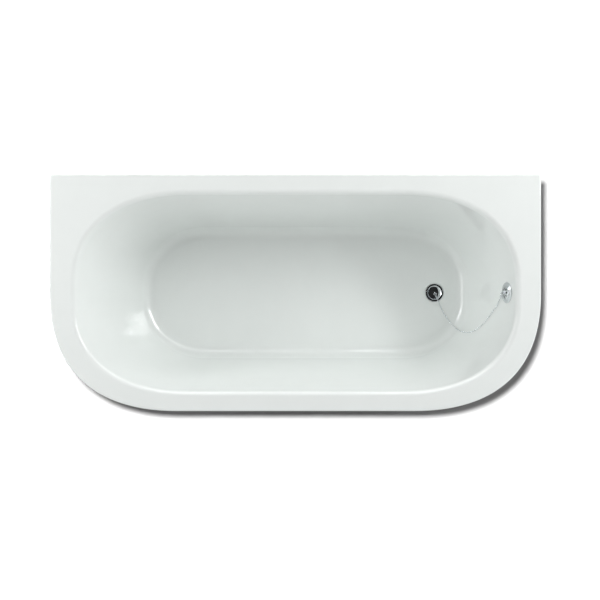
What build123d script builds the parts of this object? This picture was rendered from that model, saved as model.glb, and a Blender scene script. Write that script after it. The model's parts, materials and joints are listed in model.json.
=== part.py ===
from build123d import *
import math
import os

# A back-to-wall bathtub cast in stone resin, with a separate apron, a chain waste and levelling legs.
# Millimetres. The origin is on the room's floor under the centre of the rim,
# +X points to the waste end, +Y to the wall behind the bath and +Z up.

# Overall size
length = 1660.0
width = 800.0
height = 580.0

# Rim: a slab, square at the wall and rounded at the front, with a turned-down lip on its free sides
rim_slab = 22.0
lip_drop = 45.0
lip_wall = 16.0
rim_corner_run = 429.0
rim_corner_rise = 394.0
rim_front_pull = 0.693
rim_side_pull = 0.609
wall_corner_radius = 8.0
rim_edge_radius = 5.0
lip_edge_radius = 3.0
roll_radius = 18.0

# Basin: the opening in the rim and the floor, as sharp corners before they are rounded
rim_at_ends = 82.0
rim_at_sides = 65.0
opening_corner_run = 385.0
opening_end_flat = 38.0
opening_pull = 0.62
basin_depth = 430.0
backrest_slope = 170.0
waste_end_slope = 88.0
side_slope = 90.0
floor_corner_run = 240.0
floor_end_flat = 30.0
floor_pull = 0.56
floor_fall_angle = 0.7
floor_radius = 50.0
wall = 14.0
floor_thick = 18.0

# Small clearances: between fixed fits, under resting moving pieces, and of running threads
fit_gap = 0.05
rest_gap = 0.3
running_gap = 0.06

# Apron, set in behind the lip and tapering towards the floor
apron_wall = 12.0
apron_top_inset = 20.0
apron_floor_inset = 42.0
apron_top_gap = 4.0
apron_floor_gap = 8.0
apron_back_gap = 4.0

# Brackets that hang the apron on the rim
bracket_from_corner = 71.0
bracket_end_y = 190.0
bracket_width = 40.0
bracket_thick = 3.0
bracket_leg = 20.0
bracket_drop = 42.0
bracket_bolt_inset = 12.0
bracket_screw_drop = 26.0
small_bolt_radius = 2.5
small_head_radius = 4.5
small_head_height = 3.0
small_insert_radius = 3.8
small_insert_length = 9.0

# Rails under the floor, bolted to cast bosses
rail_from_head_end = 400.0
rail_from_waste = 145.0
rail_end_inset = 85.0
rail_width = 40.0
rail_depth = 25.0
rail_thick = 3.0
seat_level = 120.0
boss_radius = 22.0
rail_bolt_inset = 220.0
rail_bolt_radius = 5.0
rail_bolt_across_flats = 16.0
rail_bolt_head = 6.4
rail_washer_radius = 10.0
rail_washer_thick = 2.0
rail_insert_radius = 7.0
rail_insert_length = 15.0

# Levelling legs
leg_inset = 115.0
stud_radius = 6.0
stud_top = 144.0
nut_across_flats = 18.0
nut_height = 10.0
lock_nut_height = 7.0
stud_hex_across_flats = 17.0
stud_hex_height = 7.0
pad_radius = 25.0
pad_neck_radius = 13.0
pad_height = 14.0
pad_rim_height = 4.0
pad_socket_floor = 4.0

# Waste: a chromed flange in the floor, clamped to a moulded body underneath
waste_from_floor_end = 115.0
throat_radius = 24.0
throat_wall = 1.6
throat_length = 18.0
seat_drop = 3.0
seat_ledge = 2.5
flange_rim = 11.0
flange_crown = 3.4
flange_thick = 2.6
flange_seal_thick = 1.5
waste_hole_gap = 0.4
waste_recess_gap = 3.0
waste_recess_depth = 3.5
waste_boss_rim = 20.0
grid_thick = 3.0
grid_bar = 3.5
grid_hub_radius = 7.0
screw_radius = 3.0
screw_head_radius = 5.0
screw_head_height = 3.0
body_seal_thick = 3.0
body_flange_rim = 16.0
body_flange_thick = 6.0
well_radius = 31.0
well_wall = 3.0
well_depth = 39.0
tail_radius = 23.9
tail_wall = 2.4
tail_length = 28.0
hub_drop = 6.0

# Plug: a chromed cap on a rubber stopper, with a riveted eye and a ring for the chain
plug_gap = 0.6
plug_edge_thick = 1.4
plug_crown = 2.2
stopper_length = 9.0
stopper_taper = 1.6
eye_pin_radius = 1.6
eye_radius = 2.7
eye_wire_radius = 0.9
ring_radius = 5.0
ring_wire_radius = 0.8
rivet_radius = 4.5
rivet_thick = 1.5

# Overflow: a chromed rose on the waste-end wall, screwed to an elbow behind it
overflow_drop = 72.0
overflow_hole_radius = 25.0
rose_radius = 36.0
rose_rim_height = 1.6
rose_dome_radius = 24.0
rose_dome_foot = 3.6
rose_dome_step = 1.2
rose_dome_height = 9.4
rose_thick = 1.6
rose_centre_radius = 7.0
rose_hole_radius = 3.5
rose_hole_circle = 14.5
rose_hole_count = 8
rose_gasket_thick = 1.0
staple_drop = 32.0
staple_radius = 3.8
staple_wire_radius = 1.0
staple_ring_lift = 5.3
overflow_screw_length = 46.0
elbow_seal_thick = 3.0
elbow_flange_radius = 34.0
elbow_flange_thick = 5.0
elbow_spigot_radius = 24.0
elbow_wall = 2.5
elbow_chamber_radius = 27.0
elbow_chamber_depth = 29.0
screw_boss_radius = 6.5

# Hose between the overflow elbow and the waste body
hose_radius = 14.0
hose_bore_radius = 11.5
spigot_bore_radius = 9.0
spigot_length = 34.0
spigot_cover = 24.0
hose_bend_radius = 138.0
collar_radius = 17.0
collar_length = 4.0
hose_nut_radius = 19.5
hose_nut_length = 20.0
hose_nut_grips = 12
hose_nut_grip_radius = 2.0

# Ball chain and its end couplings. The route starts at the plug, crosses the floor
# and climbs the waste-end wall in one long bow to the staple on the rose.
chain_diameter = 3.6
coupling_radius = 2.6
coupling_eye_radius = 2.8
coupling_eye_wire = 0.6
plug_ring_angle = -65.7
plug_ring_tilt = 1.0
staple_ring_tilt = 10.0
chain_route = [
    (554.3, -20.5, 147.3),
    (558.5, -30.0, 146.5),
    (563.5, -43.5, 145.6),
    (571.0, -61.0, 145.4),
    (581.0, -80.5, 145.3),
    (592.5, -98.5, 145.3),
    (604.0, -114.0, 147.3),
    (614.0, -127.3, 153.2),
    (622.5, -137.3, 164.5),
    (629.0, -143.9, 183.5),
    (634.6, -148.6, 213.0),
    (642.8, -151.0, 251.5),
    (655.0, -147.3, 291.5),
    (670.5, -135.0, 328.0),
    (686.0, -114.5, 357.5),
    (699.5, -89.0, 385.0),
    (710.5, -62.0, 415.5),
    (716.7, -43.5, 443.1),
    (719.4, -18.6, 468.9),
]

# Levels and places that follow from the sizes above
fall = math.radians(floor_fall_angle)
side_of_opening = width / 2 - rim_at_sides
end_of_opening = length / 2 - rim_at_ends
waste_x = end_of_opening - waste_end_slope - waste_from_floor_end
rail_x = {"head": rail_from_head_end - length / 2, "waste": waste_x - rail_from_waste}
rail_half_length = width / 2 - rail_end_inset
rail_bolt_y = width / 2 - rail_bolt_inset
leg_y = {"back": width / 2 - leg_inset, "front": leg_inset - width / 2}
bracket_x = length / 2 - rim_corner_run - bracket_from_corner
waste_hole_radius = throat_radius + throat_wall + waste_hole_gap
flange_radius = throat_radius + flange_rim
flange_crown_radius = throat_radius + flange_crown
seat_bore_radius = throat_radius - seat_ledge
plug_radius = throat_radius - plug_gap
waste_recess_radius = flange_radius + waste_recess_gap
waste_boss_radius = waste_hole_radius + waste_boss_rim
body_flange_radius = waste_hole_radius + body_flange_rim
waste_floor_level = height - basin_depth - waste_x * math.tan(fall)
recess_level = waste_floor_level - waste_recess_depth
flange_level = recess_level + flange_seal_thick
slab_level = height - rim_slab
web_level = seat_level - rail_thick
body_top = seat_level - body_seal_thick
well_bottom = body_top - well_depth
tail_shoulder = well_bottom - (well_radius - tail_radius)
tail_end = tail_shoulder - tail_length
spigot_level = well_bottom + hose_nut_radius * 0.8
grid_level = flange_level - throat_length
cap_top = flange_level + plug_edge_thick + plug_crown
apron_top = slab_level - apron_top_gap
apron_taper = (apron_floor_inset - apron_top_inset) / (apron_top - apron_floor_gap)


def rounded_corner(start, turn, end, start_pull, end_pull):
    """Draw one cubic curve from start to end that bulges towards turn."""
    first, knee, last = Vector(*start), Vector(*turn), Vector(*end)
    Bezier(first, first + (knee - first) * start_pull, last + (knee - last) * end_pull, last)


def rim_outline(inset, back_inset):
    """Return the edges of the rim's plan, moved in by inset, and by back_inset at the wall."""
    side, front, back = length / 2 - inset, inset - width / 2, width / 2 - back_inset
    run, rise = rim_corner_run - inset, rim_corner_rise - inset
    pulls = (rim_side_pull, rim_front_pull)
    with BuildLine() as outline:
        Line((-side, back), (side, back))
        Line((side, back), (side, front + rise))
        rounded_corner((side, front + rise), (side, front), (side - run, front), *pulls)
        Line((side - run, front), (run - side, front))
        rounded_corner((run - side, front), (-side, front), (-side, front + rise), *reversed(pulls))
        Line((-side, front + rise), (-side, back))
    return outline.edges()


def basin_outline(share, skin):
    """Return the edges of the basin's plan at a share of its depth, moved out by skin.

    The share is 0 at the rim and 1 at the floor, and the walls run straight between them.
    """
    head = -(end_of_opening - backrest_slope * share) - skin
    waste = end_of_opening - waste_end_slope * share + skin
    half = side_of_opening - side_slope * share + skin
    run = opening_corner_run + (floor_corner_run - opening_corner_run) * share + skin
    flat = opening_end_flat + (floor_end_flat - opening_end_flat) * share
    pull = opening_pull + (floor_pull - opening_pull) * share
    with BuildLine() as outline:
        for end, inner in ((waste, waste - run), (head, head + run)):
            rounded_corner((inner, -half), (end, -half), (end, -flat), pull, pull)
            Line((end, -flat), (end, flat))
            rounded_corner((end, flat), (end, half), (inner, half), pull, pull)
        for y in (-half, half):
            Line((head + run, y), (waste - run, y))
    return outline.edges()


def floor_plane(drop):
    """Return the plane of the basin's floor, which falls towards the waste, lowered by drop."""
    return Plane(
        origin=(0, 0, height - basin_depth - drop),
        x_dir=(math.cos(fall), 0, -math.sin(fall)),
        z_dir=(math.sin(fall), 0, math.cos(fall)),
    )


def end_wall(foot_plane, foot_share, top_share, skin):
    """Return the foot and the top of the straight line that the waste-end wall follows."""
    foot_x = end_of_opening - waste_end_slope * foot_share + skin
    top_x = end_of_opening - waste_end_slope * top_share + skin
    foot = foot_plane.from_local_coords(Vector(foot_x, 0, 0))
    return foot, Vector(top_x, 0, height - top_share * basin_depth)


def apron_face_inset(level):
    """Return how far inside the rim's edge the apron's inner face lies at a level."""
    return apron_top_inset + apron_taper * (apron_top - level) + apron_wall


def bracket_plane(x, y, inward):
    """Return an upright plane through a bracket, with its origin on the apron's inner face."""
    return Plane(origin=(x, y, slab_level), x_dir=inward, z_dir=Vector(*inward).cross(Vector(0, 0, 1)))


def finish(sub_part, name):
    """Name a finished piece and write it."""
    sub_part.part.label = name
    export_step(sub_part.part, f"parts/{name}.step")


os.makedirs("parts", exist_ok=True)

# Bracket places: three along the front and one at each end
bracket_face = apron_face_inset(slab_level)
bracket_planes = [
    bracket_plane(x, bracket_face - width / 2, (0, 1, 0)) for x in (-bracket_x, 0, bracket_x)
]
bracket_planes.append(bracket_plane(bracket_face - length / 2, bracket_end_y, (1, 0, 0)))
bracket_planes.append(bracket_plane(length / 2 - bracket_face, bracket_end_y, (-1, 0, 0)))
bracket_bolt_points = [p.origin + p.x_dir * bracket_bolt_inset for p in bracket_planes]
apron_screw_planes = [
    Plane(
        origin=p.origin + p.x_dir * (apron_taper * bracket_screw_drop) - Vector(0, 0, bracket_screw_drop),
        z_dir=p.x_dir + Vector(0, 0, apron_taper),
    )
    for p in bracket_planes
]
rail_bolt_points = [(x, y) for x in rail_x.values() for y in (rail_bolt_y, -rail_bolt_y)]
leg_points = [(x, y) for x in rail_x.values() for y in leg_y.values()]

# The waste-end wall is straight from foot to top, inside and outside. The overflow's plane lies
# on its inner face and looks into the basin, with its Y axis down the wall.
wall_foot, wall_top = end_wall(floor_plane(0), 1, -rim_slab / basin_depth, 0)
outer_foot, outer_top = end_wall(
    floor_plane(floor_thick), 1 + floor_thick / basin_depth, rim_slab / 2 / basin_depth, wall
)
wall_up = (wall_top - wall_foot).normalized()
overflow_plane = Plane(
    origin=wall_foot + wall_up * ((height - overflow_drop - wall_foot.Z) / wall_up.Z),
    x_dir=(0, 1, 0),
    z_dir=Vector(0, 1, 0).cross(wall_up) * -1,
)
outer_run = outer_top - outer_foot
wall_back_point = outer_foot + outer_run * ((height - overflow_drop - outer_foot.Z) / outer_run.Z)
wall_back = overflow_plane.to_local_coords(wall_back_point).Z - fit_gap

# The face of the waste body's side collar, where the overflow hose arrives
spigot_face = Plane(
    origin=(waste_x + body_flange_radius + collar_length, 0, spigot_level),
    x_dir=(0, 1, 0),
    z_dir=(1, 0, 0),
)

# Space inside the basin
with BuildPart() as basin_space:
    with BuildSketch(floor_plane(0)):
        make_face(basin_outline(1, 0))
    with BuildSketch(Plane.XY.offset(height + rim_slab)):
        make_face(basin_outline(-rim_slab / basin_depth, 0))
    loft(ruled=True)
    fillet(basin_space.faces().sort_by(Axis.Z)[0].edges(), floor_radius)

# Tub shell: basin, rim, lip and the cast bosses underneath
with BuildPart() as tub_shell:
    with BuildSketch(floor_plane(floor_thick)):
        make_face(basin_outline(1 + floor_thick / basin_depth, wall))
    with BuildSketch(Plane.XY.offset(height - rim_slab / 2)):
        make_face(basin_outline(rim_slab / 2 / basin_depth, wall))
    loft(ruled=True)
    fillet(tub_shell.faces().sort_by(Axis.Z)[0].edges(), floor_radius + wall)

    with BuildSketch(Plane.XY.offset(height - lip_drop)) as lip_section:
        make_face(rim_outline(0, 0))
        fillet(lip_section.vertices().group_by(Axis.Y)[-1], wall_corner_radius)
        make_face(rim_outline(lip_wall, -lip_wall), mode=Mode.SUBTRACT)
    extrude(amount=lip_drop - rim_slab)
    with BuildSketch(Plane.XY.offset(slab_level)) as slab_section:
        make_face(rim_outline(0, 0))
        fillet(slab_section.vertices().group_by(Axis.Y)[-1], wall_corner_radius)
    extrude(amount=rim_slab)

    with BuildSketch(Plane.XY.offset(seat_level)):
        with Locations(*rail_bolt_points):
            Circle(boss_radius)
        with Locations((waste_x, 0)):
            Circle(waste_boss_radius)
    extrude(amount=height - basin_depth - seat_level)
    add(basin_space.part, mode=Mode.SUBTRACT)

    top_face = tub_shell.faces().filter_by(Plane.XY).sort_by(Axis.Z)[-1]
    fillet(top_face.inner_wires()[0].edges(), roll_radius)
    top_face = tub_shell.faces().filter_by(Plane.XY).sort_by(Axis.Z)[-1]
    fillet(top_face.outer_wire().edges(), rim_edge_radius)
    lip_face = tub_shell.faces().filter_by(Plane.XY).filter_by_position(
        Axis.Z, height - lip_drop - 1, height - lip_drop + 1
    )[0]
    fillet(lip_face.outer_wire().edges(), lip_edge_radius)

    with BuildSketch(Plane.XY.offset(recess_level)):
        with Locations((waste_x, 0)):
            Circle(waste_recess_radius)
    extrude(amount=floor_radius, mode=Mode.SUBTRACT)
    with BuildSketch(Plane.XY.offset(seat_level)):
        with Locations((waste_x, 0)):
            Circle(waste_hole_radius)
    extrude(amount=floor_radius, mode=Mode.SUBTRACT)
    with BuildSketch(overflow_plane):
        Circle(overflow_hole_radius)
    extrude(amount=wall * 2, both=True, mode=Mode.SUBTRACT)
    with BuildSketch(Plane.XY.offset(seat_level)):
        with Locations(*rail_bolt_points):
            Circle(rail_insert_radius + fit_gap)
    extrude(amount=rail_insert_length + 1, mode=Mode.SUBTRACT)
    with BuildSketch(Plane.XY.offset(slab_level)):
        with Locations(*[(p.X, p.Y) for p in bracket_bolt_points]):
            Circle(small_insert_radius + fit_gap)
    extrude(amount=small_insert_length + 1, mode=Mode.SUBTRACT)
finish(tub_shell, "tub_shell")

# Threaded inserts cast into the bosses and the rim
with BuildPart() as rail_inserts:
    with BuildSketch(Plane.XY.offset(seat_level)):
        with Locations(*rail_bolt_points):
            Circle(rail_insert_radius)
            Circle(rail_bolt_radius + fit_gap, mode=Mode.SUBTRACT)
    extrude(amount=rail_insert_length)
finish(rail_inserts, "rail_inserts")

with BuildPart() as rim_inserts:
    with BuildSketch(Plane.XY.offset(slab_level)):
        with Locations(*[(p.X, p.Y) for p in bracket_bolt_points]):
            Circle(small_insert_radius)
            Circle(small_bolt_radius + fit_gap, mode=Mode.SUBTRACT)
    extrude(amount=small_insert_length)
finish(rim_inserts, "rim_inserts")

# Apron panel: one wall round both ends and the front, open at the back
with BuildPart() as apron_panel:
    for skin, back, mode in ((0, apron_back_gap, Mode.ADD), (apron_wall, -apron_back_gap, Mode.SUBTRACT)):
        with BuildSketch(Plane.XY.offset(apron_floor_gap)):
            make_face(rim_outline(apron_floor_inset + skin, back))
        with BuildSketch(Plane.XY.offset(apron_top)):
            make_face(rim_outline(apron_top_inset + skin, back))
        loft(ruled=True, mode=mode)
    for plane in apron_screw_planes:
        with BuildSketch(plane):
            Circle(small_insert_radius + fit_gap)
        extrude(amount=-(small_insert_length + 1), mode=Mode.SUBTRACT)
finish(apron_panel, "apron_panel")

with BuildPart() as apron_inserts:
    for plane in apron_screw_planes:
        with BuildSketch(plane):
            Circle(small_insert_radius)
            Circle(small_bolt_radius + fit_gap, mode=Mode.SUBTRACT)
        extrude(amount=-small_insert_length)
finish(apron_inserts, "apron_inserts")

# Angle brackets between the rim and the apron
with BuildPart() as apron_brackets:
    foot = apron_taper * bracket_drop
    for plane in bracket_planes:
        with BuildSketch(plane):
            with BuildLine():
                Polyline(
                    (0, 0),
                    (bracket_leg, 0),
                    (bracket_leg, -bracket_thick),
                    (bracket_thick * (1 + apron_taper), -bracket_thick),
                    (foot + bracket_thick, -bracket_drop),
                    (foot, -bracket_drop),
                    close=True,
                )
            make_face()
        extrude(amount=bracket_width / 2, both=True)
    with BuildSketch(Plane.XY.offset(slab_level)):
        with Locations(*[(p.X, p.Y) for p in bracket_bolt_points]):
            Circle(small_bolt_radius + fit_gap)
    extrude(amount=-bracket_thick, mode=Mode.SUBTRACT)
    for plane in apron_screw_planes:
        with BuildSketch(plane):
            Circle(small_bolt_radius + fit_gap)
        extrude(amount=bracket_thick + 1, mode=Mode.SUBTRACT)
finish(apron_brackets, "apron_brackets")

with BuildPart() as bracket_bolts:
    for sketch_radius, start, amount in (
        (small_head_radius, slab_level - bracket_thick - small_head_height, small_head_height),
        (small_bolt_radius, slab_level - bracket_thick, bracket_thick + small_insert_length - 1),
    ):
        with BuildSketch(Plane.XY.offset(start)):
            with Locations(*[(p.X, p.Y) for p in bracket_bolt_points]):
                Circle(sketch_radius)
        extrude(amount=amount)
finish(bracket_bolts, "bracket_bolts")

with BuildPart() as apron_screws:
    for plane in apron_screw_planes:
        with BuildSketch(plane.offset(bracket_thick)):
            Circle(small_head_radius)
        extrude(amount=small_head_height)
        with BuildSketch(plane.offset(bracket_thick)):
            Circle(small_bolt_radius)
        extrude(amount=-(bracket_thick + small_insert_length - 1))
finish(apron_screws, "apron_screws")

# Support rails: folded channels, open downwards
for end, x in rail_x.items():
    with BuildPart() as support_rail:
        with BuildSketch(Plane.XZ.offset(-rail_half_length)):
            with Locations((x, seat_level - rail_depth / 2)):
                Rectangle(rail_width, rail_depth)
            with Locations((x, seat_level - rail_thick - rail_depth / 2)):
                Rectangle(rail_width - 2 * rail_thick, rail_depth, mode=Mode.SUBTRACT)
        extrude(amount=2 * rail_half_length)
        fillet(support_rail.edges().filter_by(Axis.Y).group_by(Axis.Z)[-1], rail_thick)
        with BuildSketch(Plane.XY.offset(seat_level)):
            with Locations(*[(x, side * rail_bolt_y) for side in (1, -1)]):
                Circle(rail_bolt_radius + fit_gap)
            with Locations(*[(x, y) for y in leg_y.values()]):
                Circle(stud_radius + running_gap)
        extrude(amount=-rail_thick, mode=Mode.SUBTRACT)
    finish(support_rail, f"support_rail_{end}")

with BuildPart() as rail_bolts:
    with BuildSketch(Plane.XY.offset(web_level)):
        with Locations(*rail_bolt_points):
            Circle(rail_washer_radius)
    extrude(amount=-rail_washer_thick)
    with BuildSketch(Plane.XY.offset(web_level - rail_washer_thick)):
        with Locations(*rail_bolt_points):
            RegularPolygon(rail_bolt_across_flats / 2, 6, major_radius=False)
    extrude(amount=-rail_bolt_head)
    with BuildSketch(Plane.XY.offset(web_level)):
        with Locations(*rail_bolt_points):
            Circle(rail_bolt_radius)
    extrude(amount=rail_thick + rail_insert_length - 1)
finish(rail_bolts, "rail_bolts")

# Nuts that carry the legs: welded on top of the rails, locked underneath
for name, start, amount in (
    ("weld_nuts", seat_level, nut_height),
    ("lock_nuts", web_level - rest_gap, -lock_nut_height),
):
    with BuildPart() as nuts:
        with BuildSketch(Plane.XY.offset(start)):
            with Locations(*leg_points):
                RegularPolygon(nut_across_flats / 2, 6, major_radius=False)
                Circle(stud_radius + running_gap, mode=Mode.SUBTRACT)
        extrude(amount=amount)
    finish(nuts, name)

# Levelling legs: a threaded stud with a spanner hexagon, pressed into a moulded pad
for end, x in rail_x.items():
    for side, y in leg_y.items():
        with BuildPart() as leg_stud:
            with BuildSketch(Plane.XY.offset(pad_socket_floor)):
                with Locations((x, y)):
                    Circle(stud_radius)
            extrude(amount=stud_top - pad_socket_floor)
            chamfer(leg_stud.faces().sort_by(Axis.Z)[-1].edges(), 1)
            with BuildSketch(Plane.XY.offset(pad_height)):
                with Locations((x, y)):
                    RegularPolygon(stud_hex_across_flats / 2, 6, major_radius=False)
            extrude(amount=stud_hex_height)
        finish(leg_stud, f"leg_stud_{end}_{side}")

        with BuildPart() as leg_pad:
            with BuildSketch(Plane.XZ.offset(-y)):
                with BuildLine():
                    Polyline(
                        (x, 0),
                        (x + pad_radius, 0),
                        (x + pad_radius, pad_rim_height),
                        (x + pad_neck_radius, pad_height),
                        (x, pad_height),
                        close=True,
                    )
                make_face()
            revolve(axis=Axis((x, y, 0), (0, 0, 1)))
            with BuildSketch(Plane.XY.offset(pad_socket_floor)):
                with Locations((x, y)):
                    Circle(stud_radius + fit_gap)
            extrude(amount=pad_height, mode=Mode.SUBTRACT)
        finish(leg_pad, f"leg_pad_{end}_{side}")

# Waste flange: a thin crowned rim, a throat with a ledge for the stopper, and a cross grid
waste_axis = Axis((waste_x, 0, 0), (0, 0, 1))
waste_section = Plane(origin=(waste_x, 0, flange_level), x_dir=(1, 0, 0), z_dir=(0, -1, 0))
with BuildPart() as waste_flange:
    with BuildSketch(waste_section):
        with BuildLine():
            rim_top = (flange_crown_radius, flange_thick)
            FilletPolyline(
                (throat_radius + throat_wall, 0),
                (flange_radius, 0),
                (flange_radius, flange_thick * 0.35),
                rim_top,
                (throat_radius, flange_thick * 0.3),
                (throat_radius, -seat_drop),
                (seat_bore_radius, -seat_drop),
                (seat_bore_radius, -throat_length),
                (throat_radius + throat_wall, -throat_length),
                radius=0.25,
                close=True,
            )
        make_face()
    revolve(axis=waste_axis)
    with BuildSketch(Plane.XY.offset(grid_level)):
        with Locations((waste_x, 0)):
            Circle(grid_hub_radius)
            for turn in (45, 135):
                Rectangle(2 * seat_bore_radius + 1, grid_bar, rotation=turn)
            Circle(screw_radius + fit_gap, mode=Mode.SUBTRACT)
    extrude(amount=grid_thick)
finish(waste_flange, "waste_flange")

with BuildPart() as waste_flange_seal:
    with BuildSketch(Plane.XY.offset(recess_level)):
        with Locations((waste_x, 0)):
            Circle(flange_radius - 1)
            Circle(waste_hole_radius + 1, mode=Mode.SUBTRACT)
    extrude(amount=flange_seal_thick)
finish(waste_flange_seal, "waste_flange_seal")

with BuildPart() as waste_body_seal:
    with BuildSketch(Plane.XY.offset(seat_level - body_seal_thick)):
        with Locations((waste_x, 0)):
            Circle(body_flange_radius - 1)
            Circle(waste_hole_radius + 1, mode=Mode.SUBTRACT)
    extrude(amount=body_seal_thick)
finish(waste_body_seal, "waste_body_seal")

# Waste body: a well with a tail for the trap, a spigot for the overflow hose and a screw boss
with BuildPart() as waste_body:
    with BuildSketch(Plane(origin=(waste_x, 0, 0), x_dir=(1, 0, 0), z_dir=(0, -1, 0))):
        with BuildLine():
            Polyline(
                (0, body_top),
                (body_flange_radius, body_top),
                (body_flange_radius, body_top - body_flange_thick),
                (well_radius, body_top - body_flange_thick),
                (well_radius, well_bottom),
                (tail_radius, tail_shoulder),
                (tail_radius, tail_end),
                (0, tail_end),
                close=True,
            )
        make_face()
    revolve(axis=waste_axis)
    with BuildSketch(spigot_face):
        Circle(collar_radius)
    extrude(amount=-(collar_length + body_flange_radius - well_radius / 2))
    with BuildSketch(spigot_face):
        Circle(hose_bore_radius - fit_gap)
    extrude(amount=spigot_length)
    with BuildSketch(Plane.XY.offset(body_top)):
        with Locations((waste_x, 0)):
            Circle(well_radius - well_wall)
    extrude(amount=well_wall - well_depth, mode=Mode.SUBTRACT)
    with BuildSketch(Plane.XY.offset(tail_end)):
        with Locations((waste_x, 0)):
            Circle(tail_radius - tail_wall)
    extrude(amount=tail_length + well_depth, mode=Mode.SUBTRACT)
    with BuildSketch(Plane.XY.offset(well_bottom)):
        with Locations((waste_x, 0)):
            Circle(screw_boss_radius)
            with PolarLocations(well_radius / 2, 3, start_angle=60):
                Rectangle(well_radius - well_wall, well_wall)
    extrude(amount=well_depth - body_flange_thick - hub_drop)
    with BuildSketch(Plane(origin=(waste_x + well_radius / 2, 0, spigot_level), z_dir=(1, 0, 0))):
        Circle(spigot_bore_radius)
    extrude(amount=body_flange_radius + collar_length + spigot_length, mode=Mode.SUBTRACT)
    with BuildSketch(Plane.XY.offset(well_bottom)):
        with Locations((waste_x, 0)):
            Circle(screw_radius + fit_gap)
    extrude(amount=well_depth, mode=Mode.SUBTRACT)
finish(waste_body, "waste_body")

with BuildPart() as waste_screw:
    with BuildSketch(Plane.XY.offset(well_bottom + body_flange_thick)):
        with Locations((waste_x, 0)):
            Circle(screw_radius)
    extrude(amount=grid_level + grid_thick - well_bottom - body_flange_thick)
    with BuildSketch(Plane.XY.offset(grid_level + grid_thick)):
        with Locations((waste_x, 0)):
            Circle(screw_head_radius)
    extrude(amount=screw_head_height)
    fillet(waste_screw.faces().sort_by(Axis.Z)[-1].edges(), screw_head_height / 3)
finish(waste_screw, "waste_screw")

# Plug: a crowned cap over a stepped rubber stopper, pierced for the eye's pin
with BuildPart() as plug_cap:
    with BuildSketch(waste_section):
        with BuildLine():
            Polyline(
                (eye_pin_radius + fit_gap, plug_edge_thick + plug_crown),
                (eye_pin_radius + fit_gap, 0),
                (plug_radius, 0),
                (plug_radius, plug_edge_thick),
            )
            ThreePointArc(
                (plug_radius, plug_edge_thick),
                (plug_radius / 2, plug_edge_thick + plug_crown * 0.75),
                (eye_pin_radius + fit_gap, plug_edge_thick + plug_crown),
            )
        make_face()
    revolve(axis=waste_axis)
finish(plug_cap, "plug_cap")

with BuildPart() as plug_stopper:
    step_radius = seat_bore_radius - rest_gap
    with BuildSketch(waste_section):
        with BuildLine():
            Polyline(
                (eye_pin_radius + fit_gap, 0),
                (eye_pin_radius + fit_gap, -stopper_length),
                (step_radius - stopper_taper, -stopper_length),
                (step_radius, rest_gap - seat_drop),
                (plug_radius, rest_gap - seat_drop),
                (plug_radius, 0),
                close=True,
            )
        make_face()
    revolve(axis=waste_axis)
finish(plug_stopper, "plug_stopper")

# Eye: a pin riveted under the stopper, with a loop on top
eye_centre = Vector(waste_x, 0, cap_top + eye_radius + eye_wire_radius + fit_gap)
ring_away = Vector(1, 0, 0).rotate(Axis.Z, plug_ring_angle)
with BuildPart() as plug_eye:
    with BuildSketch(Plane.XY.offset(flange_level - stopper_length - rivet_thick)):
        with Locations((waste_x, 0)):
            Circle(rivet_radius)
    extrude(amount=rivet_thick)
    with BuildSketch(Plane.XY.offset(flange_level - stopper_length)):
        with Locations((waste_x, 0)):
            Circle(eye_pin_radius)
    extrude(amount=eye_centre.Z - eye_radius - flange_level + stopper_length)
    with Locations(Plane(origin=eye_centre, x_dir=ring_away, z_dir=ring_away.cross(Vector(0, 0, 1)))):
        Torus(eye_radius, eye_wire_radius)
finish(plug_eye, "plug_eye")

# Ring through the eye, leaning on the cap towards the chain
ring_line = ring_away * math.cos(math.radians(plug_ring_tilt)) - Vector(
    0, 0, math.sin(math.radians(plug_ring_tilt))
)
ring_side = ring_away.cross(Vector(0, 0, 1))
with BuildPart() as plug_ring:
    with Locations(
        Plane(origin=eye_centre + ring_line * ring_radius, x_dir=ring_side, z_dir=ring_line.cross(ring_side))
    ):
        Torus(ring_radius, ring_wire_radius)
finish(plug_ring, "plug_ring")

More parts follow.
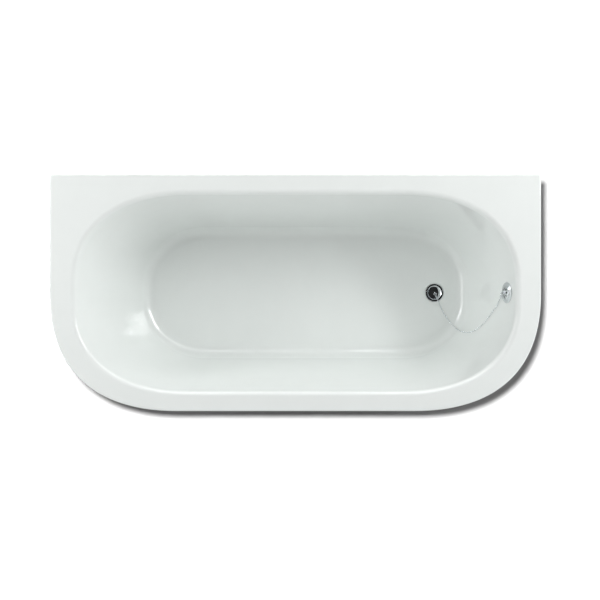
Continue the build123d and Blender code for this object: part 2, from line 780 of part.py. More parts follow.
# Overflow rose: a coned rim, a stepped dome with a ring of holes and a staple for the chain
with BuildPart() as overflow_rose:
    base = rose_gasket_thick
    with BuildSketch(Plane(origin=overflow_plane.origin, x_dir=(0, 1, 0), z_dir=overflow_plane.y_dir)):
        dome_top = base + rose_dome_height
        dome_edge = base + rose_dome_foot + rose_dome_step
        pin = screw_radius + fit_gap
        with BuildLine():
            Polyline(
                (rose_centre_radius, -dome_top),
                (pin, -dome_top),
                (pin, rose_thick - dome_top),
                (rose_centre_radius, rose_thick - dome_top),
            )
            ThreePointArc(
                (rose_centre_radius, rose_thick - dome_top),
                (rose_dome_radius * 0.7, 1.9 * rose_thick - dome_top),
                (rose_dome_radius - rose_thick, rose_thick - dome_edge),
            )
            Polyline(
                (rose_dome_radius - rose_thick, rose_thick - dome_edge),
                (rose_dome_radius - rose_thick, -base - rose_dome_foot / 2),
                (rose_radius - 2 * rose_thick, -base),
                (rose_radius, -base),
                (rose_radius, -base - rose_rim_height),
                (rose_dome_radius + rose_thick, -base - rose_dome_foot),
                (rose_dome_radius, -base - rose_dome_foot),
                (rose_dome_radius, -dome_edge),
            )
            ThreePointArc(
                (rose_dome_radius, -dome_edge),
                (rose_dome_radius * 0.72, 0.9 * rose_thick - dome_top),
                (rose_centre_radius, -dome_top),
            )
        make_face()
    revolve(axis=Axis(overflow_plane.origin, overflow_plane.z_dir))
    with BuildSketch(overflow_plane):
        with PolarLocations(rose_hole_circle, rose_hole_count):
            Circle(rose_hole_radius)
    extrude(amount=2 * rose_dome_height, mode=Mode.SUBTRACT)
    staple_start = overflow_plane.offset(base + (rose_rim_height + rose_dome_foot) / 2)
    with BuildSketch(staple_start):
        with Locations((-staple_radius, staple_drop), (staple_radius, staple_drop)):
            Circle(staple_wire_radius)
    extrude(amount=-rose_rim_height)
    with BuildSketch(staple_start):
        with Locations((staple_radius, staple_drop)):
            Circle(staple_wire_radius)
    staple_foot = staple_start.origin + staple_start.y_dir * staple_drop
    revolve(axis=Axis(staple_foot, -staple_start.y_dir), revolution_arc=180)
finish(overflow_rose, "overflow_rose")

# Flat gasket under the rose
with BuildPart() as rose_gasket:
    with BuildSketch(overflow_plane):
        Circle(rose_radius - 1)
        Circle(overflow_hole_radius + 1, mode=Mode.SUBTRACT)
    extrude(amount=rose_gasket_thick)
finish(rose_gasket, "rose_gasket")

# Elbow behind the wall: a spigot in the hole, a chamber, a screw boss and an outlet pointing down
elbow_face = wall_back - elbow_seal_thick
outlet_inset = elbow_face - elbow_flange_thick - (elbow_chamber_depth - elbow_flange_thick) / 2
outlet_centre = overflow_plane.origin + overflow_plane.z_dir * outlet_inset
outlet_face = Plane(
    origin=(outlet_centre.X, 0, outlet_centre.Z - elbow_chamber_radius - collar_length),
    x_dir=(0, 1, 0),
    z_dir=(0, 0, -1),
)
with BuildPart() as overflow_elbow:
    with BuildSketch(overflow_plane.offset(elbow_face)):
        Circle(elbow_flange_radius)
    extrude(amount=-elbow_flange_thick)
    with BuildSketch(overflow_plane.offset(elbow_face)):
        Circle(elbow_chamber_radius)
    extrude(amount=-elbow_chamber_depth)
    with BuildSketch(overflow_plane.offset(elbow_face)):
        Circle(elbow_spigot_radius)
    extrude(amount=-elbow_face - elbow_wall)
    with BuildSketch(outlet_face):
        Circle(collar_radius)
    extrude(amount=-elbow_chamber_radius)
    with BuildSketch(overflow_plane):
        Circle(elbow_spigot_radius - elbow_wall)
    extrude(amount=elbow_face - elbow_chamber_depth + elbow_wall, mode=Mode.SUBTRACT)
    with BuildSketch(overflow_plane.offset(elbow_face - elbow_chamber_depth)):
        Circle(screw_boss_radius)
    extrude(amount=elbow_chamber_depth)
    with BuildSketch(overflow_plane.offset(elbow_face - elbow_chamber_depth + elbow_wall)):
        Circle(screw_radius + fit_gap)
    extrude(amount=elbow_chamber_depth, mode=Mode.SUBTRACT)
    with BuildSketch(outlet_face):
        Circle(hose_bore_radius - fit_gap)
    extrude(amount=spigot_length)
    with BuildSketch(outlet_face.offset(spigot_length)):
        Circle(spigot_bore_radius)
    extrude(amount=-(spigot_length + elbow_chamber_radius - screw_boss_radius), mode=Mode.SUBTRACT)
finish(overflow_elbow, "overflow_elbow")

with BuildPart() as elbow_seal:
    with BuildSketch(overflow_plane.offset(wall_back)):
        Circle(elbow_flange_radius - 1)
        Circle(overflow_hole_radius + 1, mode=Mode.SUBTRACT)
    extrude(amount=-elbow_seal_thick)
finish(elbow_seal, "elbow_seal")

with BuildPart() as overflow_screw:
    with BuildSketch(overflow_plane.offset(rose_gasket_thick + rose_dome_height)):
        Circle(screw_head_radius)
    extrude(amount=screw_head_height)
    fillet(overflow_screw.faces().sort_by(Axis.X)[0].edges(), screw_head_height / 2)
    with BuildSketch(overflow_plane.offset(rose_gasket_thick + rose_dome_height + screw_head_height)):
        Rectangle(2 * screw_head_radius, screw_head_height / 3, rotation=30)
    extrude(amount=-screw_head_height / 3, mode=Mode.SUBTRACT)
    with BuildSketch(overflow_plane.offset(rose_gasket_thick + rose_dome_height)):
        Circle(screw_radius)
    extrude(amount=-overflow_screw_length)
finish(overflow_screw, "overflow_screw")

# Ring through the staple, lying out to the side where the chain pulls it
staple_hole = (
    overflow_plane.origin + overflow_plane.y_dir * staple_drop + overflow_plane.z_dir * staple_ring_lift
)
staple_ring_line = overflow_plane.z_dir * math.sin(math.radians(staple_ring_tilt)) - (
    overflow_plane.x_dir * math.cos(math.radians(staple_ring_tilt))
)
with BuildPart() as staple_ring:
    with Locations(
        Plane(
            origin=staple_hole + staple_ring_line * ring_radius,
            x_dir=staple_ring_line,
            z_dir=staple_ring_line.cross(overflow_plane.y_dir),
        )
    ):
        Torus(ring_radius, ring_wire_radius)
finish(staple_ring, "staple_ring")

# Couplings: a closed barrel that grips the last ball, with an eye round the ring
chain_points = [Vector(*point) for point in chain_route]
for name, ring_point, chain_point, next_point, gap, pinch in (
    (
        "plug_coupling",
        eye_centre + ring_line * (2 * ring_radius),
        chain_points[0],
        chain_points[1],
        rest_gap,
        ring_side,
    ),
    (
        "staple_coupling",
        staple_hole + staple_ring_line * (2 * ring_radius),
        chain_points[-1],
        chain_points[-2],
        0,
        overflow_plane.y_dir,
    ),
):
    line = (chain_point - next_point).normalized()
    reach = (ring_point - chain_point).length
    across = (pinch - line * pinch.dot(line)).normalized()
    print(name, "eye misses the ring by", round((chain_point + line * reach - ring_point).length, 2))
    with BuildPart() as coupling:
        with BuildSketch(Plane(origin=chain_point, x_dir=across, z_dir=line).offset(gap)):
            Circle(coupling_radius)
        extrude(amount=reach - coupling_eye_radius - gap)
        chamfer(coupling.edges(), coupling_radius / 4)
        with Locations(Plane(origin=chain_point + line * reach, x_dir=line, z_dir=across)):
            Torus(coupling_eye_radius, coupling_eye_wire)
    finish(coupling, name)

# Ball chain as one tube of the balls' diameter, on straight runs joined by tangent arcs
runs = [after - before for before, after in zip(chain_points, chain_points[1:])]
bends = []
for before, after in zip(runs, runs[1:]):
    half_turn = math.radians(before.get_angle(after) / 2)
    bends.append(0.45 * min(before.length, after.length) / math.tan(half_turn))
print("chain bend radii", [round(bend, 1) for bend in bends])
with BuildPart() as plug_chain:
    with BuildLine() as chain_line:
        FilletPolyline(*chain_route, radius=bends)
    with BuildSketch(Plane(origin=chain_route[0], z_dir=runs[0])):
        Circle(chain_diameter / 2)
    sweep()
chain_length = chain_line.wires()[0].length
chain_volume = math.pi * (chain_diameter / 2) ** 2 * chain_length
print("chain length", round(chain_length, 1), "volume ratio", round(plug_chain.part.volume / chain_volume, 5))
finish(plug_chain, "plug_chain")

# Overflow hose from the elbow down to the waste body
hose_top = outlet_face.origin.Z - spigot_length + spigot_cover
hose_end_x = spigot_face.origin.X + spigot_length - spigot_cover
with BuildPart() as overflow_hose:
    with BuildLine():
        FilletPolyline(
            (outlet_centre.X, 0, hose_top),
            (outlet_centre.X, 0, spigot_level),
            (hose_end_x, 0, spigot_level),
            radius=hose_bend_radius,
        )
    with BuildSketch(Plane(origin=(outlet_centre.X, 0, hose_top), z_dir=(0, 0, -1))):
        Circle(hose_radius)
        Circle(hose_bore_radius, mode=Mode.SUBTRACT)
    sweep()
finish(overflow_hose, "overflow_hose")

for name, face in (("hose_nut_upper", outlet_face), ("hose_nut_lower", spigot_face)):
    with BuildPart() as hose_nut:
        with BuildSketch(face):
            Circle(hose_nut_radius)
            with PolarLocations(hose_nut_radius, hose_nut_grips):
                Circle(hose_nut_grip_radius)
            Circle(hose_radius + fit_gap, mode=Mode.SUBTRACT)
        extrude(amount=hose_nut_length)
    finish(hose_nut, name)
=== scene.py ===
"""Looks of a back-to-wall bathtub cast in stone resin, with its waste, overflow, hose and legs.

Everything is in metres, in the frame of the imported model: +X towards the waste end, +Y towards the
wall behind the bath and +Z up, with the origin on the floor under the middle of the rim.
"""

import json
import logging
import math
from bisect import bisect_left
from collections.abc import Iterable, Sequence
from dataclasses import dataclass
from enum import Enum

import bpy
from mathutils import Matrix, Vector


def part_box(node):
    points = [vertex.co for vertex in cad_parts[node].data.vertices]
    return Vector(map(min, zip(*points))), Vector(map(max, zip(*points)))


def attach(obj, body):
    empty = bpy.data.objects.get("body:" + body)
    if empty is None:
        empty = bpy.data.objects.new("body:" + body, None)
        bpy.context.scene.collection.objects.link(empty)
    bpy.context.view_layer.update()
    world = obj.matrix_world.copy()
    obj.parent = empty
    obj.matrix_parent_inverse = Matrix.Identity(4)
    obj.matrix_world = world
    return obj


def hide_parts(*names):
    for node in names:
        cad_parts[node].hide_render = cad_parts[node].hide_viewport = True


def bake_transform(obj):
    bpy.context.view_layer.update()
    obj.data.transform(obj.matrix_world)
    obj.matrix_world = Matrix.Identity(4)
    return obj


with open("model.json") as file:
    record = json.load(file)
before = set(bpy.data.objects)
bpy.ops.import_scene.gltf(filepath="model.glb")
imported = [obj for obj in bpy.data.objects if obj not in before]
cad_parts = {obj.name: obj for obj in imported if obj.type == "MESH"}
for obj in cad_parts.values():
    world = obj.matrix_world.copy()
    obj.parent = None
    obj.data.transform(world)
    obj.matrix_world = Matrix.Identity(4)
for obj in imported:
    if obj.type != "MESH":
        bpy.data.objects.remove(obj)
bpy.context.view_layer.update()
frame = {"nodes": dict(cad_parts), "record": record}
log = logging.getLogger("bathtub")

MM = 0.001
WHITE = (1.0, 1.0, 1.0, 1.0)
# A surface's points and the numbers of the points round each face
Surface = tuple[list[Vector], list[list[int]]]
# The radius and the height of each corner of a turned piece
Profile = list[tuple[float, float]]


class End(Enum):
    """The two ends of the bath."""

    HEAD = "head"
    WASTE = "waste"


class Side(Enum):
    """The two long sides of the bath."""

    BACK = "back"
    FRONT = "front"


def linear(colour: str) -> tuple[float, float, float, float]:
    """Turn an sRGB hex colour into linear RGBA.

    Args:
        colour: six hex digits after a hash sign.

    Returns:
        The linear red, green, blue and an alpha of 1.
    """
    channels = [int(colour[i:i + 2], 16) / 255 for i in (1, 3, 5)]
    # The sRGB curve is straight near black and a power above that
    red, green, blue = (c / 12.92 if c <= 0.04045 else ((c + 0.055) / 1.055) ** 2.4 for c in channels)
    return red, green, blue, 1.0


def add_node(tree: bpy.types.NodeTree, kind: str, inputs: dict | None = None, **settings) -> bpy.types.Node:
    """Add one shader node.

    Args:
        tree: the node tree it goes into.
        kind: the node's type, without its ShaderNode prefix.
        inputs: values or output sockets, by the name or index of the input that takes them.
        settings: attributes of the node.

    Returns:
        The new node.
    """
    node = tree.nodes.new("ShaderNode" + kind)
    for name, value in settings.items():
        setattr(node, name, value)
    for name, value in (inputs or {}).items():
        if isinstance(value, bpy.types.NodeSocket):
            tree.links.new(value, node.inputs[name])
        else:
            node.inputs[name].default_value = value
    return node


def seen_ray(tree: bpy.types.NodeTree) -> bpy.types.NodeSocket:
    """Tell what the eye sees, straight or in a mirror or glass, from light that falls on the bath.

    Args:
        tree: the node tree that asks.

    Returns:
        A socket of 1 for what is seen and 0 for light.
    """
    path = add_node(tree, "LightPath").outputs
    seen = path["Is Camera Ray"]
    for kind in ("Is Glossy Ray", "Is Transmission Ray"):
        seen = add_node(tree, "Math", {0: seen, 1: path[kind]}, operation="MAXIMUM").outputs[0]
    return seen


@dataclass(frozen=True)
class Finish:
    """A plain surface, which the finishes below add their own pattern to."""

    name: str
    colour: str
    roughness: float
    metallic: float = 0.0
    ior: float = 1.5

    def material(self) -> bpy.types.Material:
        """Make this finish's material on the first call.

        Returns:
            The one material of this finish.
        """
        made = bpy.data.materials.get(self.name)
        if made:
            return made
        made = bpy.data.materials.new(self.name)
        made.use_nodes = True
        tree = made.node_tree
        tree.nodes.clear()
        shader = add_node(tree, "BsdfPrincipled", {
            "Base Color": linear(self.colour),
            "Roughness": self.roughness,
            "Metallic": self.metallic,
            "IOR": self.ior,
        })
        add_node(tree, "OutputMaterial", {"Surface": shader.outputs["BSDF"]})
        self.pattern(tree, shader)
        made.diffuse_color = linear(self.colour)
        return made

    def pattern(self, tree: bpy.types.NodeTree, shader: bpy.types.Node) -> None:
        """Add what the plain surface lacks. The plain finish adds nothing."""

    def coat(self, piece: bpy.types.Object) -> None:
        """Give a piece this finish alone."""
        piece.data.materials.clear()
        piece.data.materials.append(self.material())


@dataclass(frozen=True)
class CastStoneResin(Finish):
    """Stone resin under a polished gel coat: a cool white with a clear, glassy reflection.

    The gel coat is flat to within the slow waves that hand polishing leaves, which bend a
    reflection's edge a little, and the filled resin below clouds the white very faintly. The
    underside is left as it comes from the mould: matt, warmer and grained with stone filler.
    """

    cloud_mm: float = 90.0
    cloud_detail: float = 3.0
    cloud_colour: str = "#EBEFED"
    wave_mm: float = 45.0
    wave_detail: float = 1.0
    wave_height_mm: float = 0.012
    # How far a face looks down where the raw underside begins and where it is full
    raw_begins: float = -0.1
    raw_full: float = -0.15
    raw_colour: str = "#D8D7D0"
    raw_roughness: float = 0.62
    raw_grain_mm: float = 2.5
    raw_grain_height_mm: float = 0.15

    def pattern(self, tree: bpy.types.NodeTree, shader: bpy.types.Node) -> None:
        """Add faint clouding and the waves of polishing, and the raw grain where faces look down.

        Args:
            tree: the material's node tree.
            shader: the node that takes the pattern.
        """
        coordinates = add_node(tree, "TexCoord").outputs
        place = coordinates["Object"]
        facing = add_node(tree, "SeparateXYZ", {"Vector": coordinates["Normal"]})
        raw = add_node(tree, "MapRange", {
            "Value": facing.outputs["Z"], "From Min": self.raw_begins, "From Max": self.raw_full,
        }).outputs["Result"]
        clouds = add_node(tree, "TexNoise", {
            "Vector": place, "Scale": 1 / (self.cloud_mm * MM), "Detail": self.cloud_detail,
        })
        coat = add_node(tree, "Mix", {
            "Factor": clouds.outputs["Fac"], "A": linear(self.colour), "B": linear(self.cloud_colour),
        }, data_type="RGBA")
        colour = add_node(tree, "Mix", {
            "Factor": raw, "A": coat.outputs["Result"], "B": linear(self.raw_colour),
        }, data_type="RGBA")
        tree.links.new(colour.outputs["Result"], shader.inputs["Base Color"])
        rough = add_node(tree, "MapRange", {
            "Value": raw, "To Min": self.roughness, "To Max": self.raw_roughness,
        })
        tree.links.new(rough.outputs["Result"], shader.inputs["Roughness"])
        waves = add_node(tree, "TexNoise", {
            "Vector": place, "Scale": 1 / (self.wave_mm * MM), "Detail": self.wave_detail,
        })
        polish = add_node(tree, "Bump", {
            "Height": waves.outputs["Fac"], "Distance": self.wave_height_mm * MM, "Strength": 1.0,
        })
        grain = add_node(tree, "TexNoise", {"Vector": place, "Scale": 1 / (self.raw_grain_mm * MM)})
        bump = add_node(tree, "Bump", {
            "Height": grain.outputs["Fac"], "Distance": self.raw_grain_height_mm * MM, "Strength": raw,
            "Normal": polish.outputs["Normal"],
        })
        tree.links.new(bump.outputs["Normal"], shader.inputs["Normal"])


@dataclass(frozen=True)
class ChromePlate(Finish):
    """Chrome on polished brass: a cool mirror, faintly dulled where hands and water dry on it."""

    smear_mm: float = 9.0
    smear_detail: float = 2.0
    smear_roughness: float = 0.14
    # The noise's values where a smear begins and where it is dullest
    smear_begins: float = 0.45
    smear_full: float = 0.8

    def pattern(self, tree: bpy.types.NodeTree, shader: bpy.types.Node) -> None:
        """Vary the roughness in soft smears.

        Args:
            tree: the material's node tree.
            shader: the node that takes the pattern.
        """
        place = add_node(tree, "TexCoord").outputs["Object"]
        smears = add_node(tree, "TexNoise", {
            "Vector": place, "Scale": 1 / (self.smear_mm * MM), "Detail": self.smear_detail,
        })
        rough = add_node(tree, "MapRange", {
            "Value": smears.outputs["Fac"], "From Min": self.smear_begins, "From Max": self.smear_full,
            "To Min": self.roughness, "To Max": self.smear_roughness,
        })
        tree.links.new(rough.outputs["Result"], shader.inputs["Roughness"])


@dataclass(frozen=True)
class ZincPlate(Finish):
    """Steel in bright zinc: a grey metal with a fine cold spangle and no sharp reflection."""

    spangle_mm: float = 4.0
    dark_colour: str = "#8D9194"

    def pattern(self, tree: bpy.types.NodeTree, shader: bpy.types.Node) -> None:
        """Break the grey up into spangles.

        Args:
            tree: the material's node tree.
            shader: the node that takes the pattern.
        """
        place = add_node(tree, "TexCoord").outputs["Object"]
        spangle = add_node(tree, "TexVoronoi", {"Vector": place, "Scale": 1 / (self.spangle_mm * MM)})
        shade = add_node(tree, "SeparateColor", {"Color": spangle.outputs["Color"]})
        ramp = add_node(tree, "ValToRGB", {"Fac": shade.outputs["Red"]})
        ramp.color_ramp.elements[0].color = linear(self.dark_colour)
        ramp.color_ramp.elements[1].color = linear(self.colour)
        tree.links.new(ramp.outputs["Color"], shader.inputs["Base Color"])


@dataclass(frozen=True)
class MouldedPlastic(Finish):
    """An injection-moulded plastic or rubber: an even colour with the fine grain of its mould."""

    grain_mm: float = 0.8
    grain_detail: float = 2.0
    grain_height_mm: float = 0.03
    grain_strength: float = 0.6

    def pattern(self, tree: bpy.types.NodeTree, shader: bpy.types.Node) -> None:
        """Raise the mould's grain, drawn coarser than life so that it shows.

        Args:
            tree: the material's node tree.
            shader: the node that takes the pattern.
        """
        place = add_node(tree, "TexCoord").outputs["Object"]
        grain = add_node(tree, "TexNoise", {
            "Vector": place, "Scale": 1 / (self.grain_mm * MM), "Detail": self.grain_detail,
        })
        bump = add_node(tree, "Bump", {
            "Height": grain.outputs["Fac"], "Distance": self.grain_height_mm * MM,
            "Strength": self.grain_strength,
        })
        tree.links.new(bump.outputs["Normal"], shader.inputs["Normal"])


GEL_COAT = CastStoneResin("polished_stone_resin", "#EFF3F1", 0.04)
CHROME = ChromePlate("chrome_on_brass", "#E2E5E8", 0.04, metallic=1.0)
ZINC = ZincPlate("bright_zinc_plate", "#B9BDC0", 0.38, metallic=1.0)
BRASS = Finish("turned_brass", "#C9A45A", 0.3, metallic=1.0)
RUBBER = MouldedPlastic("moulded_rubber", "#1A1A1B", 0.55)
POLYPROPYLENE = MouldedPlastic("moulded_polypropylene", "#E4E4E1", 0.42)
# Painted shade: the white elbow is dressed black so that the rose's holes look dark inside
ELBOW_SHADE_BLACK = MouldedPlastic("elbow_painted_shade_black", "#141516", 0.45)
HOSE_PLASTIC = MouldedPlastic("blown_polyethylene", "#A5A9AC", 0.38)
NYLON = MouldedPlastic("moulded_nylon", "#222324", 0.5)
VELVET = Finish("black_velvet", "#0A0A0A", 1.0)


def new_mesh(name: str, points: Sequence[Vector], faces: Sequence[Sequence[int]]) -> bpy.types.Object:
    """Link a new mesh object with smooth faces.

    Args:
        name: the object's name.
        points: its vertices, in metres.
        faces: the vertex numbers of each face, seen anticlockwise from outside.

    Returns:
        The new object.
    """
    mesh = bpy.data.meshes.new(name)
    mesh.from_pydata([tuple(p) for p in points], [], [tuple(f) for f in faces])
    mesh.validate()
    mesh.polygons.foreach_set("use_smooth", [True] * len(mesh.polygons))
    piece = bpy.data.objects.new(name, mesh)
    bpy.context.scene.collection.objects.link(piece)
    return piece


def level_square(name: str, side: float, height: float, faces_up: bool) -> bpy.types.Object:
    """Link a level square over the middle of the bath.

    Args:
        name: the object's name.
        side: the length of its sides.
        height: its height over the floor.
        faces_up: whether it faces up, and not down.

    Returns:
        The new object.
    """
    half = side / 2
    outline = ((-half, -half), (half, -half), (half, half), (-half, half))
    corners = [Vector((x, y, height)) for x, y in outline]
    return new_mesh(name, corners if faces_up else corners[::-1], [range(len(corners))])


def whole_turn(steps: int) -> list[float]:
    """Return evenly spaced angles of one whole turn, in radians."""
    return [2 * math.pi * i / steps for i in range(steps)]


def skin(rings: Sequence[Sequence[Vector]]) -> Surface:
    """Join closed rings of as many points each into one surface, with its two ends filled.

    Args:
        rings: the rings, in order.

    Returns:
        The points and the faces.
    """
    around = len(rings[0])
    points = [p for ring in rings for p in ring]
    faces = []
    for r in range(len(rings) - 1):
        for i in range(around):
            j = (i + 1) % around
            low, high = r * around, (r + 1) * around
            faces.append([low + i, low + j, high + j, high + i])
    faces.append(list(range(around))[::-1])
    faces.append([(len(rings) - 1) * around + i for i in range(around)])
    return points, faces


def lathe(profile: Profile, centre: Vector, around: int) -> Surface:
    """Turn a closed profile about an upright axis.

    Args:
        profile: radius and height of each corner, with the solid on its right.
        centre: a point of the axis, which heights are counted from.
        around: the points in a turn.

    Returns:
        The points and the faces.
    """
    points = []
    for radius, height in profile:
        for turn in whole_turn(around):
            points.append(centre + Vector((math.cos(turn) * radius, math.sin(turn) * radius, height)))
    faces = []
    for r in range(len(profile)):
        low, high = r * around, (r + 1) % len(profile) * around
        for i in range(around):
            j = (i + 1) % around
            faces.append([low + i, high + i, high + j, low + j])
    return points, faces


def arc(centre: tuple[float, float], radius: float, span: tuple[float, float], steps: int) -> Profile:
    """Round a corner of a profile.

    Args:
        centre: the radius and the height of the arc's centre.
        radius: the arc's own radius.
        span: the angles where it starts and ends, in degrees.
        steps: how many straight steps it is drawn in.

    Returns:
        The points of the arc, both ends included.
    """
    start, end = span
    turns = [math.radians(start + (end - start) * i / steps) for i in range(steps + 1)]
    return [(centre[0] + radius * math.cos(t), centre[1] + radius * math.sin(t)) for t in turns]


def sharpen(piece: bpy.types.Object, degrees: float = 32.0) -> None:
    """Shade a piece smooth but for the edges that turn by more than an angle."""
    piece.data.set_sharp_from_angle(angle=math.radians(degrees))


def together(parts: Iterable[Surface]) -> Surface:
    """Put several closed surfaces into one.

    Args:
        parts: the surfaces, in order.

    Returns:
        The points and the faces of all of them.
    """
    points, faces = [], []
    for part_points, part_faces in parts:
        start = len(points)
        points += part_points
        faces += [[start + i for i in face] for face in part_faces]
    return points, faces


def smooth_line(name: str, points: Sequence[Sequence[float]], steps: int = 16) -> list[Vector]:
    """Return points along the NURBS line that a cord's route controls.

    Args:
        name: a name for the curve while it is read.
        points: the route's control points, in metres.
        steps: how many points are read for each control point.

    Returns:
        The points of the line, in order.
    """
    curve = bpy.data.curves.new(name, "CURVE")
    curve.dimensions = "3D"
    spline = curve.splines.new("NURBS")
    spline.points.add(len(points) - 1)
    for knot, point in zip(spline.points, points):
        knot.co = (*point, 1.0)
    spline.order_u = 3
    spline.use_endpoint_u = True
    spline.resolution_u = steps
    holder = bpy.data.objects.new(name, curve)
    bpy.context.scene.collection.objects.link(holder)
    read = bpy.data.meshes.new_from_object(holder)
    line = [v.co.copy() for v in read.vertices]
    bpy.data.objects.remove(holder)
    bpy.data.curves.remove(curve)
    bpy.data.meshes.remove(read)
    return line


@dataclass
class Track:
    """A line that can be walked by distance, with a cross frame that doesn't twist."""

    line: list[Vector]

    def __post_init__(self) -> None:
        """Measure the line and carry a cross direction along it."""
        self.marks = [0.0]
        for before, after in zip(self.line, self.line[1:]):
            self.marks.append(self.marks[-1] + (after - before).length)
        self.length = self.marks[-1]
        self.across = []
        ahead = (self.line[1] - self.line[0]).normalized()
        across = ahead.orthogonal().normalized()
        for i in range(len(self.line)):
            j = min(i + 1, len(self.line) - 1)
            ahead = (self.line[j] - self.line[j - 1]).normalized()
            across = (across - ahead * across.dot(ahead)).normalized()
            self.across.append(across)

    def frame(self, distance: float) -> tuple[Vector, Vector, Vector, Vector]:
        """Find a place on the line.

        Args:
            distance: how far along the line it lies, in metres.

        Returns:
            The place, the direction ahead and two directions across.
        """
        distance = min(max(distance, 0.0), self.length)
        i = min(max(bisect_left(self.marks, distance) - 1, 0), len(self.line) - 2)
        span = self.marks[i + 1] - self.marks[i]
        share = (distance - self.marks[i]) / span if span else 0.0
        place = self.line[i].lerp(self.line[i + 1], share)
        ahead = (self.line[i + 1] - self.line[i]).normalized()
        across = self.across[i].lerp(self.across[i + 1], share)
        across = (across - ahead * across.dot(ahead)).normalized()
        return place, ahead, across, ahead.cross(across)

    def tube(self, name: str, stations: Iterable[tuple[float, float]], around: int) -> bpy.types.Object:
        """Sweep a round section of changing radius along the line.

        Args:
            name: the object's name.
            stations: the distance and the radius of each ring, in order.
            around: the points in a ring.

        Returns:
            The closed tube.
        """
        rings = []
        for distance, radius in stations:
            place, _, across, up = self.frame(distance)
            spokes = [across * math.cos(turn) + up * math.sin(turn) for turn in whole_turn(around)]
            rings.append([place + spoke * radius for spoke in spokes])
        return new_mesh(name, *skin(rings))


@dataclass
class WasteFlange:
    """The flange in the floor: a broad flat rim, a bevel into the throat, and the cross grid below."""

    node: str = "waste_flange"
    bevel_radius: float = 27.4 * MM
    throat_radius: float = 24.0 * MM
    throat_wall: float = 1.6 * MM
    bore_radius: float = 21.5 * MM
    face_fall: float = 0.25 * MM
    edge_round: float = 1.1 * MM
    crease_round: float = 0.3 * MM
    bevel_foot: float = 0.78 * MM
    thick: float = 2.6 * MM
    seat_drop: float = 3.0 * MM
    grid_thick: float = 3.0 * MM
    grid_bar: float = 3.5 * MM
    hub_radius: float = 7.0 * MM
    screw_hole: float = 3.05 * MM
    # The angles, in degrees, that the rounded edges run through
    edge_span: tuple[float, float] = (0, 86)
    bevel_span: tuple[float, float] = (88, 140)
    throat_span: tuple[float, float] = (130, 180)
    edge_steps: int = 8
    crease_steps: int = 4
    grid_turns: tuple[float, ...] = (45, 135, 225, 315)
    around: int = 128

    def build(self) -> None:
        """Turn the flange and lay the grid across its throat."""
        low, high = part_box(self.node)
        centre = Vector(((low.x + high.x) / 2, (low.y + high.y) / 2, high.z - self.thick))
        rim = (high.x - low.x) / 2
        foot = low.z - centre.z
        edge = self.thick - self.face_fall - self.edge_round
        crease, steps = self.crease_round, self.crease_steps
        profile = [
            (self.throat_radius + self.throat_wall, foot),
            (self.throat_radius + self.throat_wall, 0.0),
            (rim, 0.0),
            *arc((rim - self.edge_round, edge), self.edge_round, self.edge_span, self.edge_steps),
            *arc((self.bevel_radius + crease, self.thick - crease), crease, self.bevel_span, steps),
            *arc((self.throat_radius + crease, self.bevel_foot - crease), crease, self.throat_span, steps),
            (self.throat_radius, -self.seat_drop),
            (self.bore_radius, -self.seat_drop),
            (self.bore_radius, foot),
        ]
        hub = [
            (self.screw_hole, foot), (self.hub_radius, foot),
            (self.hub_radius, foot + self.grid_thick), (self.screw_hole, foot + self.grid_thick),
        ]
        parts = [lathe(profile, centre, self.around), lathe(hub, centre, self.around // 2)]
        for turn in self.grid_turns:
            parts.append(self.bar(centre + Vector((0, 0, foot)), math.radians(turn)))
        flange = new_mesh("turned_waste_flange", *together(parts))
        sharpen(flange)
        CHROME.coat(flange)
        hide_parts(self.node)
        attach(flange, "root")
        log.info("waste flange: turned, with its grid")

    def bar(self, foot: Vector, turn: float) -> Surface:
        """Lay one bar of the grid, from the hub to the throat.

        Args:
            foot: the middle of the grid's underside.
            turn: the direction that the bar runs in, in radians.

        Returns:
            The points and the faces.
        """
        along = Vector((math.cos(turn), math.sin(turn), 0))
        across = Vector((-along.y, along.x, 0)) * self.grid_bar / 2
        # The ends are let into the hub and into the throat's wall
        ends = (self.hub_radius - self.grid_bar / 4, self.bore_radius + self.throat_wall / 2)
        up = Vector((0, 0, self.grid_thick))
        rings = [
            [foot + along * r - across, foot + along * r + across, foot + along * r + across + up,
             foot + along * r - across + up] for r in ends
        ]
        return skin(rings)


